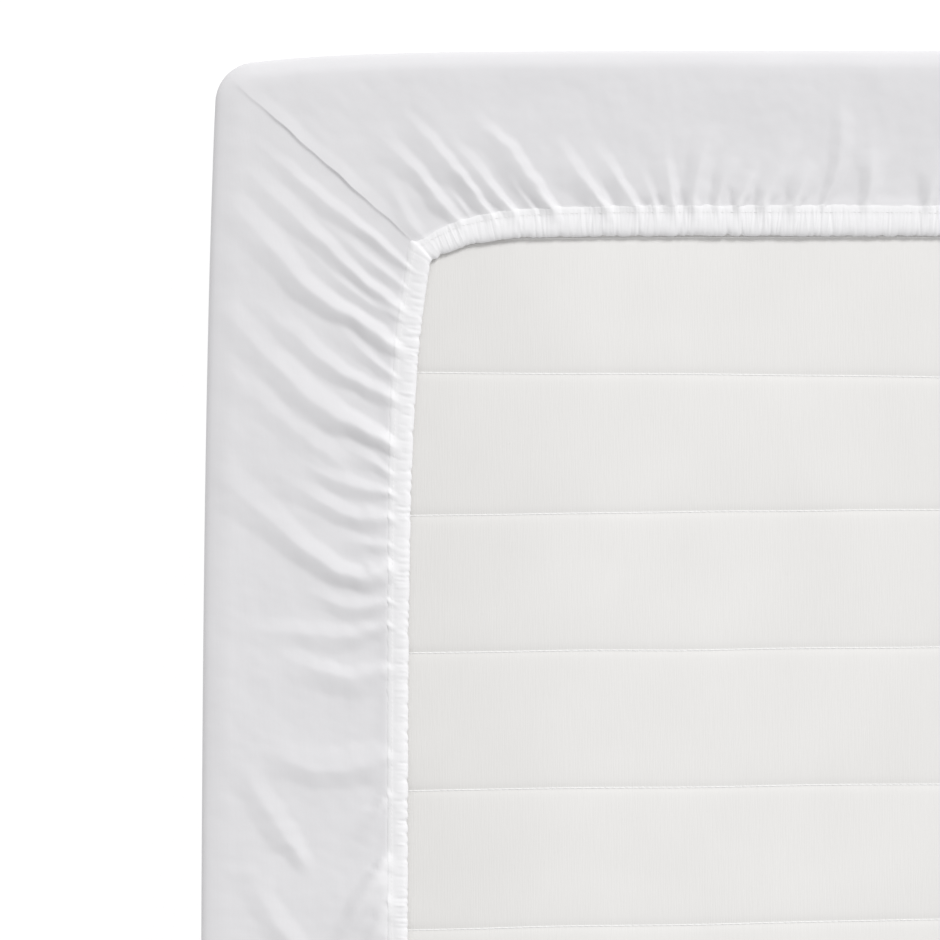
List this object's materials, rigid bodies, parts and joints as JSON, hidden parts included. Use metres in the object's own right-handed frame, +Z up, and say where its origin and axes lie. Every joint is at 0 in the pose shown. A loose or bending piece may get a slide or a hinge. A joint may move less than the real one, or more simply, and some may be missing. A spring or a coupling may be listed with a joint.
{
  "type": "fitted sheet on mattress",
  "caption": "White fitted sheet pulled over a single mattress, underside up: a gathered elastic hem draws folds in round an opening that shows stitched ticking.",
  "frame": {"origin": "middle of the footprint, on the surface that the sleeping side lies on", "axes": "+Y along the length towards the head end, +X across the width, +Z up through the underside of the mattress"},
  "size_m": [0.9051, 2.0058, 0.1525],
  "materials": {
    "cotton": "plain woven white cotton, matt, softly creased",
    "ticking": "off-white woven ticking with stitched channels, matt"
  },
  "bodies": {
    "root": {"fitted_sheet": "cotton", "mattress": "ticking"}
  },
  "joints": []
}
